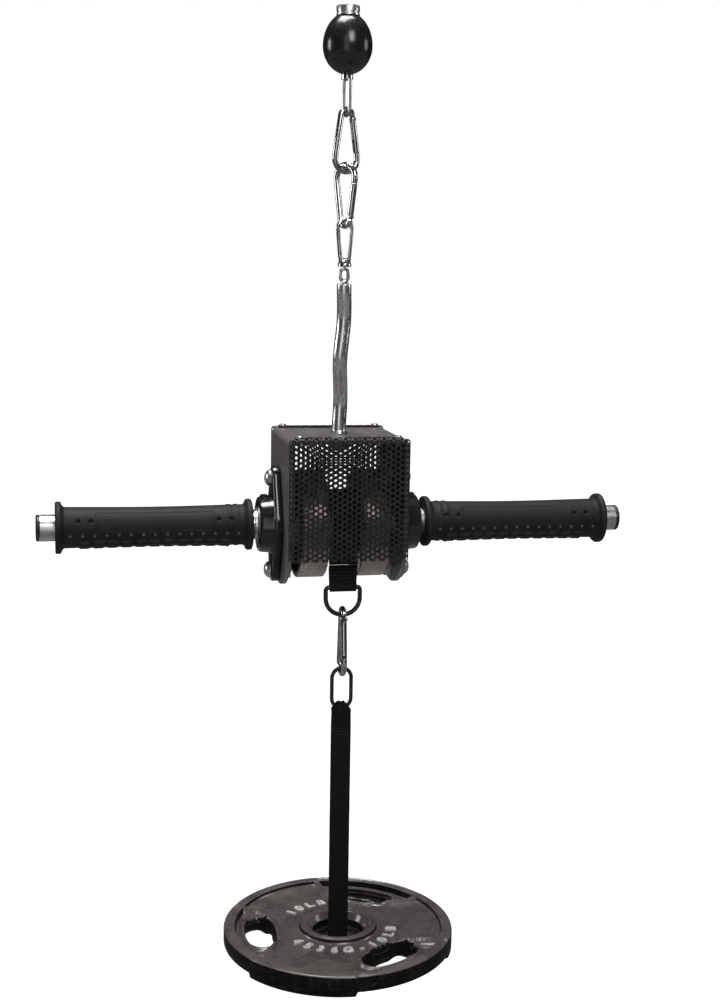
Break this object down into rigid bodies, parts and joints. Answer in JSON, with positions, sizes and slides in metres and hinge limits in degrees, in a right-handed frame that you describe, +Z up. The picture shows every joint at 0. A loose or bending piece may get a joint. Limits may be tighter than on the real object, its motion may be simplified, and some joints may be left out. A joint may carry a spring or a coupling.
{
  "type": "wrist roller trainer",
  "caption": "Wrist roller that hangs from a cable by snap hooks: turning its two grips winds a strap that lifts a weight plate.",
  "frame": {"origin": "middle of the flat top face of the cable ferrule, from which the trainer hangs", "axes": "+Z up along the cable, +X along the roller to the right-hand grip, -Y to the side that the user faces"},
  "size_m": [0.5776, 0.228, 0.9253],
  "materials": {
    "polished_steel": "polished steel",
    "chrome": "bright chrome",
    "black_paint": "satin black paint",
    "grey_paint": "satin dark grey powder coat",
    "bearing_black": "satin black cast housing",
    "drum_metal": "satin grey metal",
    "grip_rubber": "matt black rubber",
    "webbing": "woven black webbing",
    "plate_iron": "satin dark grey coated iron",
    "gloss_black": "gloss black plastic"
  },
  "bodies": {
    "cable_end": {"cable_ferrule": "polished_steel", "ball_stop": "gloss_black", "end_eye": "polished_steel"},
    "snap_hook_1": {"snap_hook_1_body": "polished_steel", "snap_hook_1_pin": "polished_steel"},
    "snap_hook_1_gate_bar": {"snap_hook_1_gate": "polished_steel"},
    "snap_hook_2": {"snap_hook_2_body": "polished_steel", "snap_hook_2_pin": "polished_steel"},
    "snap_hook_2_gate_bar": {"snap_hook_2_gate": "polished_steel"},
    "swivel_hook": {"swivel_hook_body": "polished_steel", "swivel_hook_pin": "polished_steel"},
    "swivel_hook_gate_bar": {"swivel_hook_gate": "polished_steel"},
    "housing": {"swivel_eye": "polished_steel", "hanger_rod": "chrome", "rod_washer": "polished_steel", "rod_nut": "polished_steel", "yoke_frame": "grey_paint", "front_guard": "black_paint", "rear_guard": "black_paint", "bearing_housing_left": "bearing_black", "bearing_housing_right": "bearing_black", "bearing_outer_ring_left": "polished_steel", "bearing_outer_ring_right": "polished_steel", "flange_bolt_left_lower": "polished_steel", "flange_bolt_left_upper": "polished_steel", "flange_bolt_right_lower": "polished_steel", "flange_bolt_right_upper": "polished_steel", "flange_nut_left_lower": "polished_steel", "flange_nut_left_upper": "polished_steel", "flange_nut_right_lower": "polished_steel", "flange_nut_right_upper": "polished_steel", "lift_strap": "webbing"},
    "roller": {"roller_tube": "polished_steel", "drum_left": "drum_metal", "drum_right": "drum_metal", "spool_core": "drum_metal", "wound_strap": "webbing", "grip_left": "grip_rubber", "grip_right": "grip_rubber", "end_cap_left": "gloss_black", "end_cap_right": "gloss_black", "bearing_inner_ring_left": "polished_steel", "bearing_inner_ring_right": "polished_steel"},
    "strap_end": {"strap_end_loop": "webbing"},
    "d_ring_link": {"d_ring": "black_paint"},
    "load_hook": {"load_hook_body": "black_paint", "load_hook_pin": "polished_steel"},
    "load_hook_gate_bar": {"load_hook_gate": "black_paint"},
    "ring_link": {"oval_ring": "black_paint"},
    "strap_with_stop": {"loading_strap": "webbing", "stop_disc": "polished_steel", "stop_pin": "polished_steel"},
    "plate": {"weight_plate": "plate_iron"}
  },
  "joints": [
    {"name": "hook_1_swing", "type": "hinge", "parent": "cable_end", "child": "snap_hook_1", "pos_m": [0, 0, -0.098], "axis": [-0.3256, 0.9455, 0], "range_deg": [-40, 40]},
    {"name": "hook_1_gate", "type": "hinge", "parent": "snap_hook_1", "child": "snap_hook_1_gate_bar", "pos_m": [0.00608, 0.00209, -0.10126], "axis": [-0.3256, 0.9455, 0], "range_deg": [0, 18], "stiffness_Nm_per_rad": 0.02, "springref_deg": -17.19},
    {"name": "hook_2_swing", "type": "hinge", "parent": "snap_hook_1", "child": "snap_hook_2", "pos_m": [0, 0, -0.1489], "axis": [0.9455, 0.3256, 0], "range_deg": [-40, 40]},
    {"name": "hook_2_gate", "type": "hinge", "parent": "snap_hook_2", "child": "snap_hook_2_gate_bar", "pos_m": [0.00369, -0.00526, -0.19024], "axis": [-0.8192, -0.5736, 0], "range_deg": [0, 18], "stiffness_Nm_per_rad": 0.02, "springref_deg": -17.19},
    {"name": "swivel_hook_swing", "type": "hinge", "parent": "snap_hook_2", "child": "swivel_hook", "pos_m": [0, 0, -0.1986], "axis": [0.5736, -0.8192, 0], "range_deg": [-20, 20]},
    {"name": "swivel_hook_gate", "type": "hinge", "parent": "swivel_hook", "child": "swivel_hook_gate_bar", "pos_m": [-0.00454, -0.00122, -0.22744], "axis": [-0.2588, 0.9659, 0], "range_deg": [0, 15], "stiffness_Nm_per_rad": 0.01, "springref_deg": -17.19},
    {"name": "rod_swivel", "type": "hinge", "parent": "swivel_hook", "child": "housing", "pos_m": [0, 0, -0.2368], "axis": [0, 0, 1], "continuous": true},
    {"name": "drum_turn", "type": "hinge", "parent": "housing", "child": "roller", "pos_m": [0, 0.017, -0.48415], "axis": [1, 0, 0], "range_deg": [0, 720]},
    {"name": "load_lift", "type": "slide", "parent": "housing", "child": "strap_end", "axis": [0, 0, 1], "range_m": [-0.4147, 0], "deforming": ["lift_strap", "wound_strap"]},
    {"name": "d_ring_swing", "type": "hinge", "parent": "strap_end", "child": "d_ring_link", "pos_m": [0, -0.016, -0.54175], "axis": [1, 0, 0], "range_deg": [-30, 30]},
    {"name": "load_hook_swing", "type": "hinge", "parent": "d_ring_link", "child": "load_hook", "pos_m": [0, -0.016, -0.56885], "axis": [1, 0, 0], "range_deg": [-25, 25]},
    {"name": "load_hook_gate", "type": "hinge", "parent": "load_hook", "child": "load_hook_gate_bar", "pos_m": [0, -0.02236, -0.57183], "axis": [1, 0, 0], "range_deg": [0, 15], "stiffness_Nm_per_rad": 0.02, "springref_deg": -17.19},
    {"name": "ring_swing", "type": "hinge", "parent": "load_hook", "child": "ring_link", "pos_m": [0, -0.016, -0.6273], "axis": [0, 1, 0], "range_deg": [-25, 25]},
    {"name": "loading_strap_swing", "type": "hinge", "parent": "ring_link", "child": "strap_with_stop", "pos_m": [0, -0.016, -0.662], "axis": [1, 0, 0], "range_deg": [-15, 15]},
    {"name": "plate_lift_off", "type": "slide", "parent": "strap_with_stop", "child": "plate", "axis": [0, 0, 1], "range_m": [0, 0.19]}
  ],
  "couplings": [
    {"joint": "load_lift", "follows": "drum_turn", "m_per_rad": -0.033}
  ]
}
